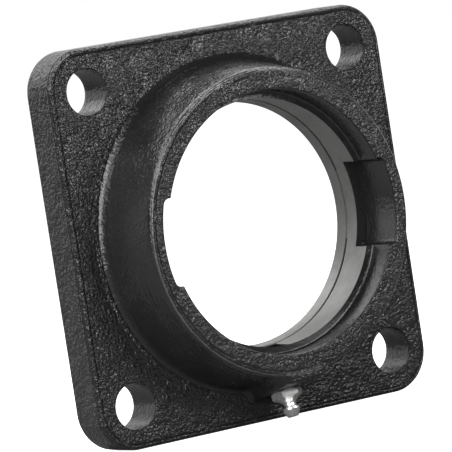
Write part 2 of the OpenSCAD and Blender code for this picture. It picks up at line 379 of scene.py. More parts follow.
# Thin marks along the edges, in millimetres: how far from the edge's inner line, and half the width
FLANGE_RIDGE, FLANGE_GROOVE, SIDE_GROOVE = (-0.75, 0.55), (0.15, 0.42), (0.1, 0.45)
# The last mark of the rim is a painted highlight of lighter paint
RIM_RIDGE, RIM_GROOVE, RIM_HIGHLIGHT = (0.90, 0.70), (-0.25, 0.50), (1.15, 0.50)


def edge_marks(graph, where):
    """Ridges and grooves that the mould left along the edges, whose grooves are also masks of painted shade,
    painted shade in the cove, and a painted highlight along the hub's rim.
    """
    settings = bpy.context.scene.flange_housing
    form = HousingForm(settings)
    flange, hub = settings.flange, settings.hub
    apart = graph.node("ShaderNodeSeparateXYZ", None, {"Vector": where})
    x, z = apart, graph.also(apart, "Z")
    height = 0 - graph.also(apart, "Y")
    post = flange.width / 2 - flange.corner
    across = x.of("ABSOLUTE") - post
    along = z.of("ABSOLUTE") - post
    out_x, out_z = across.most(0), along.most(0)
    inset = flange.corner - (out_x * out_x + out_z * out_z).of("SQRT") - across.most(along).least(0)
    radius = (x * x + z * z).of("SQRT")
    wander = (graph.noise(where, 5 * MM, 2.0) - 0.5) * (0.9 * MM)
    beads = graph.ramp(graph.noise(where, 1.3 * MM, 2.0, 0.6), 0.35, 0.62)
    patches = graph.ramp(graph.noise(where, 9 * MM, 2.0, 0.6), 0.32, 0.46)

    def line(value, edge, mark):
        middle, half_width = mark
        return 1 - graph.ramp((value + wander - (edge + middle * MM)).of("ABSOLUTE"), 0, half_width * MM)

    at_edge = graph.ramp(height, flange.thickness - 2.6 * MM, flange.thickness - 1.8 * MM)
    at_rim = graph.ramp(height, hub.height - 1.2 * MM, hub.height - 0.7 * MM)
    left = graph.ramp(0 - x, -15 * MM, 20 * MM)
    ridge = line(inset, flange.edge, FLANGE_RIDGE) * at_edge * (0.35 + 0.65 * beads)
    ridge = ridge + line(radius, form.edge_r, RIM_RIDGE) * at_rim * (0.25 + 0.25 * beads)
    # The grooves' mask also darkens them as painted shade; the groove inside the hub's rim fades in towards
    # the left side
    groove = line(inset, flange.edge, FLANGE_GROOVE) * at_edge * patches
    groove = groove + line(radius, form.edge_r, RIM_GROOVE) * at_rim * patches * left
    outer = line(height, flange.thickness - flange.edge, SIDE_GROOVE)
    groove = groove + outer * (1 - graph.ramp(inset, 0.5 * MM, 1.0 * MM)) * patches
    # Painted shade in the cove at the hub's foot
    cove_shade = 1 - graph.ramp(radius + wander * 0.5, form.border_r - 2.2 * MM, form.border_r - 1.2 * MM)
    cove_shade = cove_shade * (1 - graph.ramp(height, flange.thickness + 2.0 * MM, flange.thickness + 4.5 * MM))
    # Painted highlight: lighter paint along the hub's rim
    highlighted = line(radius, form.edge_r, RIM_HIGHLIGHT) * at_rim * (0.4 + 0.6 * beads)
    return ridge, groove.least(1), cove_shade, highlighted


# Distance between the high places of the paint's marks, in millimetres
COARSE_GRAIN, FINE_GRAIN, ROUGH_PATCHES, PIN_HOLES, CLOUDS = 1.20, 0.66, 7, 2.2, 14


def painted_iron_material():
    """Black gloss paint that follows the grain of the sand-cast skin, smoother where it was machined."""
    finish = bpy.context.scene.flange_housing.cast
    material, graph = new_material("black paint on cast iron")
    where = graph.node("ShaderNodeTexCoord", None, None, "Object")
    grain = graph.node("ShaderNodeAttribute", {"attribute_name": "grain"}, None, "Fac")
    coarse = graph.noise(where, COARSE_GRAIN * MM, 1.0, 0.5)
    fine = graph.noise(where, FINE_GRAIN * MM, 1.0, 0.45)
    rough_patch = graph.ramp(graph.noise(where, ROUGH_PATCHES * MM, 2.0, 0.6), 0.30, 0.66)
    # Pin holes: a dent in the bump, and a mask of painted shade mixed in below
    pin = graph.node("ShaderNodeTexVoronoi", {"feature": "F1"}, {
        "Vector": where, "Scale": 1 / (PIN_HOLES * MM)})
    pin_hole = (1 - graph.ramp(pin, 0.08, 0.20)) * graph.ramp(coarse, 0.36, 0.50) * grain
    ridge, groove, cove_shade, highlighted = edge_marks(graph, where)
    skin = (coarse * 0.74 + fine * 0.30) * (0.55 + 0.65 * rough_patch)
    height = skin * grain + coarse * 0.05 + ridge * 0.35 - groove * 0.35 - pin_hole * 0.22
    bump = graph.node("ShaderNodeBump", None, {"Strength": 1.0, "Distance": finish.grain, "Height": height})
    cloud = graph.noise(where, CLOUDS * MM, 3.0, 0.6)
    tone = graph.ramp(cloud * 0.7 + fine * 0.3, 0.30, 0.72)
    base = graph.mixed(tone, opaque(finish.paint, 0.82), opaque(finish.paint, 1.22))
    # Painted highlight along the hub's rim
    base = graph.mixed(highlighted, base, opaque(finish.highlighted))
    roughness = finish.roughness - 0.08 + 0.10 * tone + 0.08 * coarse
    paint = graph.node("ShaderNodeBsdfPrincipled", None, {
        "Base Color": base, "Roughness": roughness, "Normal": bump, "IOR": 1.5})
    # A dark matt shader mixed into the pin holes, the grooves and the cove: painted shade
    dull = graph.node("ShaderNodeBsdfPrincipled", None, {
        "Base Color": opaque(finish.paint, 0.5), "Roughness": 0.9, "IOR": 1.2})
    hollow_shade = (pin_hole * 0.8).most(groove * 0.9).most(cove_shade * 0.5)
    close_surface(graph, graph.node("ShaderNodeMixShader", None, {0: hollow_shade, 1: paint, 2: dull}))
    return material


def machined_iron_material():
    """Turned grey iron: fine rings round the bore's axis, with specks and faint stains of oil."""
    finish = bpy.context.scene.flange_housing.metal
    material, graph = new_material("machined iron")
    where = graph.node("ShaderNodeTexCoord", None, None, "Object")
    apart = graph.node("ShaderNodeSeparateXYZ", None, {"Vector": where})
    along = graph.also(apart, "Y")
    feed, wide = (graph.node("ShaderNodeTexNoise", {"noise_dimensions": "1D"}, {
        "W": along, "Scale": 1 / (size * MM), "Detail": detail, "Roughness": rough})
        for size, detail, rough in ((0.16, 3.0, 0.65), (1.1, 2.0, 0.5)))
    stain = graph.noise(where, 7 * MM, 4.0, 0.62, 0.4)
    speck = graph.noise(where, 0.35 * MM, 2.0, 0.6)
    tone = graph.ramp(stain * 0.45 + speck * 0.30 + wide * 0.14 + feed * 0.11, 0.32, 0.68)
    base = graph.mixed(tone, opaque(finish.iron, 0.84), opaque(finish.iron, 1.10))
    bump = graph.node("ShaderNodeBump", None, {
        "Strength": 1.0, "Distance": 0.012 * MM, "Height": feed * 0.45 + speck * 0.9})
    roughness = finish.iron_roughness - 0.06 + 0.14 * (1 - tone) + 0.06 * feed
    shader = graph.node("ShaderNodeBsdfPrincipled", None, {
        "Base Color": base, "Metallic": 0.90, "Roughness": roughness, "Normal": bump})
    close_surface(graph, shader)
    return material


def plated_material(name, rgb, roughness, stain_size, mark_size, mark_depth):
    """Plated or polished metal with faint tool marks and a few dull stains."""
    material, graph = new_material(name)
    where = graph.node("ShaderNodeTexCoord", None, None, "Object")
    stain = graph.ramp(graph.noise(where, stain_size, 3.0, 0.6), 0.36, 0.70)
    mark = graph.noise(where, mark_size, 3.0, 0.6)
    base = graph.mixed(stain, opaque(rgb, 1.08), opaque(rgb, 0.74))
    bump = graph.node("ShaderNodeBump", None, {"Strength": 1.0, "Distance": mark_depth, "Height": mark})
    shader = graph.node("ShaderNodeBsdfPrincipled", None, {
        "Base Color": base, "Metallic": 1.0, "Roughness": roughness - 0.05 + 0.14 * stain + 0.06 * mark,
        "Normal": bump})
    close_surface(graph, shader)
    return material


# Meshes

class Shell:
    """Gathers the faces of one closed surface."""

    def __init__(self):
        self.points = []
        self.faces = []
        self.count = 0

    def add(self, points, faces):
        """Adds points and the faces between them, numbered from the first of these points."""
        self.points.append(np.asarray(points, float))
        self.faces += (np.asarray(faces) + self.count).tolist()
        self.count += len(points)

    def bands(self, rings, closed=False):
        """Rows of four-sided faces from each ring to the next; closed joins the last ring to the first."""
        rings = np.asarray(rings, float)
        rows, columns = rings.shape[:2]
        row = np.arange(rows if closed else rows - 1)[:, None]
        column = np.arange(columns)[None, :]
        after = (column + 1) % columns
        above = (row + 1) % rows
        faces = np.stack([row * columns + column, row * columns + after,
                          above * columns + after, above * columns + column], -1)
        self.add(rings.reshape(-1, 3), faces.reshape(-1, 4))

    def mesh(self, name, place):
        """The gathered faces as one closed mesh, with each point moved to its place in the frame."""
        mesh = bpy.data.meshes.new(name)
        mesh.from_pydata(place(np.concatenate(self.points)), [], self.faces)
        work = bmesh.new()
        work.from_mesh(mesh)
        bmesh.ops.remove_doubles(work, verts=work.verts, dist=MERGE)
        bmesh.ops.recalc_face_normals(work, faces=work.faces)
        open_edges = sum(1 for edge in work.edges if len(edge.link_faces) != 2)
        if open_edges:
            raise RuntimeError(f"{name} isn't closed: {open_edges} edges")
        if work.calc_volume(signed=True) < 0:
            bmesh.ops.reverse_faces(work, faces=work.faces)
        work.to_mesh(mesh)
        work.free()
        return mesh


def inside(points, loops):
    """Which points lie inside an odd number of the closed loops."""
    odd = np.zeros(len(points), bool)
    for loop in loops:
        for start, end in zip(loop, np.roll(loop, -1, axis=0)):
            spans = (start[1] > points[:, 1]) != (end[1] > points[:, 1])
            if not spans.any():
                continue
            crossing = start[0] + (points[spans, 1] - start[1]) / (end[1] - start[1]) * (end[0] - start[0])
            odd[spans] ^= points[spans, 0] < crossing
    return odd


def far_from(points, others, gap, batch=2000):
    """Which points lie at least a gap away from all the others; a batch of them is compared at a time."""
    far = np.ones(len(points), bool)
    for start in range(0, len(points), batch):
        part = points[start:start + batch]
        nearest = np.min(np.sum((part[:, None] - others[None]) ** 2, -1), 1)
        far[start:start + batch] = nearest >= gap * gap
    return far


CLEARANCE = 0.6                    # least gap between a grid's point and another, in the grid's spacings


def flat_face(shell, loops, spacing, height, extra=None):
    """Fills the plane between the loops with even triangles; extra points make it finer where marks lie."""
    rims = np.concatenate(loops)
    low = rims.min(0)
    high = rims.max(0)
    across = np.arange(low[0], high[0], spacing)
    up = np.arange(low[1], high[1], spacing * math.sqrt(0.75))
    grid_x, grid_y = np.meshgrid(across, up)
    grid_x[1::2] += spacing / 2
    grid = np.stack([grid_x.ravel(), grid_y.ravel()], -1)
    grid = grid[inside(grid, loops)]
    rim_points = [loop + (np.roll(loop, -1, axis=0) - loop) * part
                  for loop in loops for part in (0, 1 / 3, 2 / 3)]
    grid = grid[far_from(grid, np.concatenate(rim_points), CLEARANCE * spacing)]
    if extra is not None:
        extra = extra[inside(extra, loops)]
        grid = np.concatenate([grid[far_from(grid, extra, CLEARANCE * spacing)], extra])
    rings = []
    for loop in loops:
        start = sum(len(ring) for ring in rings)
        rings.append(list(range(start, start + len(loop))))
    points, _, faces, _, _, within = delaunay_2d_cdt(
        [Vector(p) for p in np.concatenate([rims, grid])], [], rings, 1, 1e-9)
    points = np.array(points)
    faces = [face for face, sources in zip(faces, within) if sources == [0]]
    shell.add(at_height(points, height), faces)


def smooth(mesh):
    """Smooth shading that keeps the sharp edges sharp."""
    mesh.polygons.foreach_set("use_smooth", np.ones(len(mesh.polygons), bool))
    mesh.set_sharp_from_angle(angle=SHARP)


def new_object(name, data):
    """A mesh, lamp or camera as an object of the scene."""
    made = bpy.data.objects.new(name, data)
    bpy.context.scene.collection.objects.link(made)
    return made


def applied(obj):
    """Turns what the object's modifiers make into its plain mesh."""
    view = bpy.context.evaluated_depsgraph_get()
    mesh = bpy.data.meshes.new_from_object(obj.evaluated_get(view))
    obj.modifiers.clear()
    old = obj.data
    obj.data = mesh
    bpy.data.meshes.remove(old)
    return mesh


def coordinates(mesh):
    """The mesh's points as rows of x, y and z."""
    points = np.empty(len(mesh.vertices) * 3)
    mesh.vertices.foreach_get("co", points)
    return points.reshape(-1, 3)


def directions(mesh):
    """The normal at each of the mesh's points."""
    normals = np.empty(len(mesh.vertices) * 3)
    mesh.vertex_normals.foreach_get("vector", normals)
    return normals.reshape(-1, 3)


# Form of the housing, as it lies on its mounting face: (x, z, height above that face)

# Points along a quarter of the bore's outline: slot floor, its corner, the slot's side wall up to the mouth,
# past the fillet in the mouth and on to the seat, and the round part
FLOOR_STEPS, CORNER_STEPS, NECK_STEPS, FILLET_STEPS, WALL_STEPS, ROUND_STEPS = 10, 6, 2, 1, 3, 90

# Points along a quarter of the flange's outline, its corner and its side, and round a bolt hole
FLANGE_CORNER_STEPS, FLANGE_SIDE_STEPS, HOLE_STEPS = 24, 62, 72

# Stretches of half the hub's outline, from 6 o'clock to 12: where all but the last end, in degrees past the
# boss's flank, and the points along each
STRETCH_ENDS, STRETCH_STEPS = (-0.6, 2.8, 5.8), (46, 56, 20, 280)

# Points round the grease's passage, and along the floor of its pocket
PASSAGE_STEPS, POCKET_STEPS = 72, 24

# Rows of faces across each part of the surface
ROWS = {
    "hub rim": 8, "hub side": 13, "cove": 15, "mouth rim": 5, "mouth wall": 10, "mouth fillet": 5,
    "seat front": 14, "ledge": 4, "seat back": 9, "seat end": 6, "recess floor": 5, "recess fillet": 6,
    "recess wall": 6, "back edge": 3, "flange edge": 6, "flange side": 14, "hole rim": 4, "hole wall": 12,
    "hole back": 2}

# Distance between the points inside the flat faces
SPACING = {"hub face": 0.8 * MM, "flange": 0.85 * MM, "shoulder": 0.9 * MM, "back": 2.2 * MM}

# Rings on the flange's face, as distances from the hub's foot
BORDER = np.array([0, 0.2, 0.4, 0.65, 1.0]) * MM

SEAT_CHAMFER = 0.3 * MM            # between the seat and the floor of the recess
BISECTIONS = 44                    # enough to place a point of the hub's outline to the last digit


def upright(points):
    """Moves points from the lying housing to the standing one."""
    points = np.asarray(points, float)
    return np.column_stack([points[:, 0], -points[:, 2], points[:, 1]])


def arc(start, end, count):
    """Angles, heights or shares from start to end in equal steps."""
    return np.linspace(start, end, count + 1)


def rounding(part):
    """Steps of a quarter round, as shares of its radius: the way gone down, and the way left to its side."""
    return [(1 - math.cos(turn), 1 - math.sin(turn)) for turn in arc(0, math.pi / 2, ROWS[part])]


def at_height(outline, height):
    """An outline's points, all at one height."""
    return np.column_stack([outline, np.full(len(outline), height)])


def circle(radius, turn, height, centre=(0, 0)):
    """Points at some angles round a centre, all at one height."""
    return at_height(np.column_stack([centre[0] + radius * np.cos(turn),
                                      centre[1] + radius * np.sin(turn)]), height)


def joined(*runs):
    """Runs of numbers end to end, each without the first value of the next."""
    return np.concatenate([runs[0]] + [run[1:] for run in runs[1:]])


class HousingForm:
    """Sizes of the housing that follow from the settings, and the outlines at each height."""

    def __init__(self, settings):
        self.flange = settings.flange
        self.hub = settings.hub
        self.seat = settings.seat
        self.boss = settings.boss
        hub, seat, boss, flange = self.hub, self.seat, self.boss, self.flange
        self.slope = math.tan(hub.draft)
        self.lean = math.tan(boss.tilt)
        self.seat_r = seat.diameter / 2
        self.boss_r = (hub.diameter / 2 + (hub.height - seat.height) * self.slope + boss.rise
                       + self.seat_r * self.lean * self.slope) / (1 + self.lean * self.slope)
        self.boss_h = seat.height + (self.boss_r - self.seat_r) * self.lean
        self.cove_h = flange.thickness - hub.cove_sink + hub.cove
        self.cove_r = self.hub_side(self.cove_h) + hub.cove / math.cos(hub.draft)
        self.cove_end = math.asin((self.cove_h - flange.thickness) / hub.cove)
        self.border_r = self.cove_r - hub.cove * math.cos(self.cove_end)
        self.edge_h = hub.height - hub.edge
        self.edge_r = hub.diameter / 2 - hub.edge / math.tan((math.pi / 2 + hub.draft) / 2)
        self.shoulder_h = seat.height + seat.front
        self.recess_h = seat.height - seat.back
        self.recess_top = seat.recess / 2 - self.recess_h * math.tan(seat.recess_draft)
        self.bolt = flange.width / 2 - flange.bolt_edge

    def hub_side(self, h):
        """Radius of the hub's coned side at a height."""
        return self.hub.diameter / 2 + (self.hub.height - h) * self.slope

    def boss_face(self, h):
        """How far the boss's tilted face reaches down at a height, without its rounding and fillet."""
        return self.boss_r - (h - self.boss_h) * self.lean

    def boss_reach(self, h):
        """How far the boss reaches down at a height, with its rounded front and the fillet at its foot."""
        boss, edge = self.boss, self.hub.edge
        front = self.boss_face(self.hub.height) - edge / math.tan((math.pi / 2 + boss.tilt) / 2)
        if h > self.edge_h + edge * math.sin(boss.tilt):
            return front + math.sqrt(max(edge ** 2 - (h - self.edge_h) ** 2, 0))
        foot_h = self.flange.thickness + boss.foot
        touch = foot_h - boss.foot * math.sin(boss.tilt)
        if h < touch:
            centre = self.boss_face(touch) + boss.foot * math.cos(boss.tilt)
            return centre - math.sqrt(max(boss.foot ** 2 - (foot_h - h) ** 2, 0))
        return self.boss_face(h)

    def boss_half(self, h):
        """Half the boss's width at a height."""
        boss, edge = self.boss, self.hub.edge
        if h > self.edge_h:
            return boss.width / 2 - edge + math.sqrt(max(edge ** 2 - (h - self.edge_h) ** 2, 0))
        foot_h = self.flange.thickness + boss.foot
        if h < foot_h:
            return boss.width / 2 + boss.foot - math.sqrt(max(boss.foot ** 2 - (foot_h - h) ** 2, 0))
        return boss.width / 2

    def stations(self):
        """Angles from 6 o'clock at which the hub's side has a point, closest where the boss joins it."""
        flank = np.degrees(np.arcsin((self.boss.width / 2) / self.boss_r))
        ends = [0] + [flank + past for past in STRETCH_ENDS] + [180]
        side = joined(*(arc(*stretch) for stretch in zip(ends, ends[1:], STRETCH_STEPS)))
        return np.radians(np.concatenate([-side[:0:-1], side[:-1]]))

    def hub_outline(self, h, radius, out=0.0):
        """The hub's circle joined to the boss at one height, where the ray at each station crosses it."""
        turn = self.stations()
        reach = self.boss_reach(h)
        half = self.boss_half(h)
        blend = self.boss.blend
        corner = self.boss.corner
        low = np.full(len(turn), 0.5 * radius)
        high = np.full(len(turn), reach + 4 * blend)
        for _ in range(BISECTIONS):
            middle = (low + high) / 2
            x = middle * np.sin(turn)
            z = -middle * np.cos(turn)
            to_hub = middle - radius
            across = np.abs(x) - half + corner
            along = np.abs(z + reach / 2) - reach / 2 + corner
            to_boss = (np.hypot(np.maximum(across, 0), np.maximum(along, 0))
                       + np.minimum(np.maximum(across, along), 0) - corner)
            gap = (np.maximum(blend, np.minimum(to_hub, to_boss))
                   - np.hypot(np.maximum(blend - to_hub, 0), np.maximum(blend - to_boss, 0))) - out
            low = np.where(gap < 0, middle, low)
            high = np.where(gap < 0, high, middle)
        return at_height(np.column_stack([low * np.sin(turn), -low * np.cos(turn)]), h)

    def hub_rings(self):
        """Rings from the hub's face over its rounded edge, down the coned side and through the cove."""
        hub = self.hub
        rings = []

        def round_edge(turn):
            return np.array([self.edge_h + hub.edge * math.sin(turn),
                             self.edge_r + hub.edge * math.cos(turn)])

        first = np.array([hub.height, self.edge_r])
        last = round_edge(hub.draft)
        for part in arc(0, 1, ROWS["hub rim"]):
            curved = round_edge(math.pi / 2 + (hub.draft - math.pi / 2) * part)
            flat = first + (last - first) * part
            rings.append(tuple(curved + (flat - curved) * hub.wear))
        foot = self.cove_h - hub.cove * math.sin(hub.draft)
        for h in arc(rings[-1][0], foot, ROWS["hub side"])[1:]:
            rings.append((h, self.hub_side(h)))
        closer_below = arc(0, 1, ROWS["cove"])[1:] ** 0.8
        for turn in hub.draft + (self.cove_end - hub.draft) * closer_below:
            rings.append((self.cove_h - hub.cove * math.sin(turn), self.cove_r - hub.cove * math.cos(turn)))
        rings[-1] = (self.flange.thickness, self.border_r)
        return [self.hub_outline(h, radius) for h, radius in rings]

    def border_rings(self):
        """Rings on the flange's face just outside the foot of the hub."""
        return [self.hub_outline(self.flange.thickness, self.border_r, out) for out in BORDER]

    def bore_outline(self, base, out=0.0):
        """The circle of the bore with the two loading slots; out moves the whole outline outwards."""
        seat = self.seat
        side = seat.slot_width / 2 - seat.slot_corner
        far = math.sqrt((seat.slot_span / 2 - seat.slot_corner) ** 2 - side ** 2)
        lean = math.atan2(side, far)
        wall = seat.slot_width / 2 + out
        mouth_x = math.sqrt((seat.mouth / 2 + out) ** 2 - wall ** 2)
        base_x = math.sqrt((base + out) ** 2 - wall ** 2)
        fillet_x = max(base_x, math.sqrt((seat.mouth / 2 - seat.mouth_fillet + out) ** 2 - wall ** 2))
        floor = arc(0, lean, FLOOR_STEPS)
        corner = arc(lean, math.pi / 2, CORNER_STEPS)
        round_part = arc(math.atan2(wall, base_x), math.pi / 2, ROUND_STEPS)
        floor_r = seat.slot_span / 2 + out
        corner_r = seat.slot_corner + out
        x = joined(floor_r * np.cos(floor), far + corner_r * np.cos(corner), arc(far, mouth_x, NECK_STEPS),
                   arc(mouth_x, fillet_x, FILLET_STEPS), arc(fillet_x, base_x, WALL_STEPS),
                   (base + out) * np.cos(round_part))
        z = joined(floor_r * np.sin(floor), side + corner_r * np.sin(corner), np.full(NECK_STEPS + 1, wall),
                   np.full(FILLET_STEPS + 1, wall), np.full(WALL_STEPS + 1, wall),
                   (base + out) * np.sin(round_part))
        quarter = np.column_stack([x, z])
        half = np.concatenate([quarter, (quarter * (-1, 1))[-2::-1]])
        return np.concatenate([half, (half * (1, -1))[-2:0:-1]])

    def bore_ring(self, h, base, out=0.0):
        """The bore's outline at one height."""
        return at_height(self.bore_outline(base, out), h)

    def round_ring(self, h, radius):
        """A plain circle with its points at the angles of the bore's outline at the seat's centre."""
        outline = self.bore_outline(self.seat_r)
        return circle(radius, np.arctan2(outline[:, 1], outline[:, 0]), h)

    def seat_radius(self, h):
        """Radius of the spherical seat at a height."""
        return math.sqrt(self.seat_r ** 2 - (h - self.seat.height) ** 2)

    def flange_ring(self, h, inset):
        """Outline of the flange at one height, moved inwards by the inset."""
        flange = self.flange
        post = flange.width / 2 - flange.corner
        radius = flange.corner - inset
        corners = []
        for quarter in range(4):
            turn = (quarter + arc(0, 1, FLANGE_CORNER_STEPS)) * math.pi / 2
            middle = (quarter + 0.5) * math.pi / 2
            centre = post * math.sqrt(2) * np.array([math.cos(middle), math.sin(middle)])
            corners.append(centre + radius * np.column_stack([np.cos(turn), np.sin(turn)]))
        points = []
        for corner, following in zip(corners, corners[1:] + corners[:1]):
            steps = arc(0, 1, FLANGE_SIDE_STEPS)[1:-1, None]
            points += [corner, corner[-1] + (following[0] - corner[-1]) * steps]
        return at_height(np.concatenate(points), h)

    def bolt_centres(self):
        """Middles of the four bolt holes."""
        return [np.array([x, z]) for x in (-self.bolt, self.bolt) for z in (-self.bolt, self.bolt)]

    def hole_ring(self, centre, h, out):
        """Outline of a bolt hole at one height; out makes it wider."""
        turn = arc(0, 2 * math.pi, HOLE_STEPS)[:-1]
        return circle(self.flange.bolt_hole / 2 + out, turn, h, centre)


# Marks of the casting, in millimetres: x, z, radius and depth
FLANGE_PITS = [(-40.5, 65.8, 0.8, 0.30), (-66.5, 61.1, 0.6, 0.25), (-67.2, 57.3, 0.6, 0.25),
               (-63.7, 41.9, 0.7, 0.30), (-56.4, 66.0, 0.5, 0.20), (-56.9, 49.8, 0.5, 0.20),
               (-54.5, 46.9, 0.6, 0.25), (66.7, 48.9, 0.7, 0.25), (11.2, 66.7, 0.6, 0.20),
               (1.9, 65.9, 0.5, 0.20), (-2.6, 65.1, 0.5, 0.20), (60.5, -36.0, 0.6, 0.20)]
FACE_PITS = [(-29.8, 43.3, 0.9, 0.35), (-33.2, 45.6, 0.6, 0.15), (-26.9, 45.7, 0.5, 0.15),
             (-39.3, -33.0, 0.6, 0.20), (31.0, 42.0, 0.5, 0.15)]

# Rings of points round a pit: distance from its middle as a share of its radius, and number of points
PIT_RINGS = ((0.35, 6), (0.7, 10), (1.05, 12), (1.4, 12))


def pit_points(pits):
    """Rings of points round each pit, so that the faces there are small enough to show it."""
    rings = []
    for x, z, radius, _ in pits:
        rings.append([[x, z]])
        for out, count in PIT_RINGS:
            rings.append(circle(out * radius, arc(0, 2 * math.pi, count)[:-1], 0, (x, z))[:, :2])
    return np.concatenate(rings) * MM


def mouth_rings(form):
    """Rings from the hub's face over the mouth's rim and down its wall to the shoulder."""
    seat, top = form.seat, form.hub.height
    mouth, edge, fillet = seat.mouth / 2, seat.mouth_edge, seat.mouth_fillet
    rings = [form.bore_ring(top - edge * down, mouth, edge * left) for down, left in rounding("mouth rim")]
    rings += [form.bore_ring(h, mouth)
              for h in arc(top - edge, form.shoulder_h + fillet, ROWS["mouth wall"])[1:]]
    rings += [form.bore_ring(form.shoulder_h + fillet * left, mouth - fillet * down)
              for down, left in rounding("mouth fillet")[1:]]
    return rings


def seat_back_rings(form):
    """Rings from the seat's centre past the grease groove to the recess."""
    seat = form.seat
    groove = seat.height - seat.groove_back
    front = groove + seat.groove_width / 2
    back = groove - seat.groove_width / 2
    deep = form.seat_radius(groove) + seat.groove_depth
    rings = [form.round_ring(h, form.seat_radius(h)) for h in arc(seat.height, front, ROWS["seat back"])]
    rings += [form.round_ring(front, deep), form.round_ring(back, deep)]
    rings += [form.round_ring(h, form.seat_radius(h))
              for h in arc(back, form.recess_h + SEAT_CHAMFER, ROWS["seat end"])]
    return rings


def recess_rings(form):
    """Rings over the floor and the wall of the cast recess to the mounting face."""
    seat, edge = form.seat, form.flange.back_edge
    fillet, draft = seat.recess_fillet, seat.recess_draft
    end = form.seat_radius(form.recess_h) + SEAT_CHAMFER
    corner = form.recess_top - fillet * math.tan((math.pi / 2 - draft) / 2)
    rings = [form.round_ring(form.recess_h, radius) for radius in arc(end, corner, ROWS["recess floor"])]
    centre = form.recess_h - fillet
    rings += [form.round_ring(centre + fillet * math.sin(turn), corner + fillet * math.cos(turn))
              for turn in arc(math.pi / 2, draft, ROWS["recess fillet"])[1:]]
    rings += [form.round_ring(h, form.recess_top + (form.recess_h - h) * math.tan(draft))
              for h in arc(rings[-1][0, 2], edge, ROWS["recess wall"])[1:]]
    last = np.hypot(*rings[-1][0, :2])
    rings += [form.round_ring(edge * left, last + edge * down) for down, left in rounding("back edge")[1:]]
    return rings


def hole_rings(form, centre):
    """Rings of a bolt hole from the flange's face to the mounting face."""
    top, rim, edge = form.flange.thickness, form.flange.hole_rim, form.flange.back_edge
    rings = [form.hole_ring(centre, top - rim * down, rim * left) for down, left in rounding("hole rim")]
    rings += [form.hole_ring(centre, h, 0) for h in arc(top - rim, edge, ROWS["hole wall"])[1:]]
    rings += [form.hole_ring(centre, edge * left, edge * down) for down, left in rounding("hole back")[1:]]
    return rings


def housing_shell(form):
    """All surfaces of the housing except the way of the grease."""
    flange, hub, seat = form.flange, form.hub, form.seat
    shell = Shell()
    side = form.hub_rings()
    border = form.border_rings()
    shell.bands(side)
    shell.bands([side[-1]] + border[1:])

    mouth = mouth_rings(form)
    shell.bands(mouth)
    flat_face(shell, [side[0][:, :2], mouth[0][:, :2]], SPACING["hub face"], hub.height,
              pit_points(FACE_PITS))

    upper = [form.bore_ring(h, form.seat_radius(h))
             for h in arc(form.shoulder_h, seat.height, ROWS["seat front"])]
    shell.bands(upper)
    shoulders(shell, form, mouth[-1], upper[0])
    ledge = form.round_ring(seat.height, form.seat_r)
    shell.bands([upper[-1] + (ledge - upper[-1]) * part for part in arc(0, 1, ROWS["ledge"])])
    lower = seat_back_rings(form) + recess_rings(form)
    shell.bands(lower)

    edge, back_edge = flange.edge, flange.back_edge
    outside = [form.flange_ring(flange.thickness - edge * down, edge * left)
               for down, left in rounding("flange edge")]
    outside += [form.flange_ring(h, 0)
                for h in arc(flange.thickness - edge, back_edge, ROWS["flange side"])[1:]]
    outside += [form.flange_ring(back_edge * left, back_edge * down)
                for down, left in rounding("back edge")[1:]]
    shell.bands(outside)

    front_loops = [outside[0][:, :2], border[-1][:, :2]]
    back_loops = [outside[-1][:, :2], lower[-1][:, :2]]
    for centre in form.bolt_centres():
        hole = hole_rings(form, centre)
        shell.bands(hole)
        front_loops.append(hole[0][:, :2])
        back_loops.append(hole[-1][:, :2])
    flat_face(shell, front_loops, SPACING["flange"], flange.thickness, pit_points(FLANGE_PITS))
    flat_face(shell, back_loops, SPACING["back"], 0.0)
    return shell


def shoulders(shell, form, mouth_ring, seat_ring):
    """The two flat shoulders between the mouth and the seat, from one loading slot to the other."""
    wall = FLOOR_STEPS + CORNER_STEPS + NECK_STEPS + FILLET_STEPS + WALL_STEPS
    last = 2 * (wall + ROUND_STEPS) - wall
    for half in (0, 2 * (wall + ROUND_STEPS)):
        outer = [mouth_ring[half + i, :2] for i in range(wall, last + 1)]
        inner = [seat_ring[half + i, :2] for i in range(wall - WALL_STEPS + 1, last + WALL_STEPS)]
        flat_face(shell, [np.array(outer + inner[::-1])], SPACING["shoulder"], form.shoulder_h)


def fitting_place(form):
    """Moves points given on the fitting's axis (across, up the slope, out) to their place in the frame."""
    tilt = form.boss.tilt

    def place(points):
        points = np.asarray(points, float)
        across, over, out = points[:, 0], points[:, 1], points[:, 2]
        height = form.boss_h + over * math.cos(tilt) + out * math.sin(tilt)
        z = -form.boss_r + over * math.sin(tilt) - out * math.cos(tilt)
        return np.column_stack([across, -height, z])

    return place


def turned(profile, stations):
    """Rings of a profile of (radius, height) points turned about the third axis."""
    turn = arc(0, 2 * math.pi, stations)[:-1]
    return [circle(radius, turn, height) for radius, height in profile]


def lidded(rings):
    """A closed shell of rings with a pole at each end."""
    shell = Shell()
    first = np.repeat(rings[0].mean(0)[None], len(rings[0]), 0)
    last = np.repeat(rings[-1].mean(0)[None], len(rings[-1]), 0)
    shell.bands([first] + list(rings) + [last])
    return shell


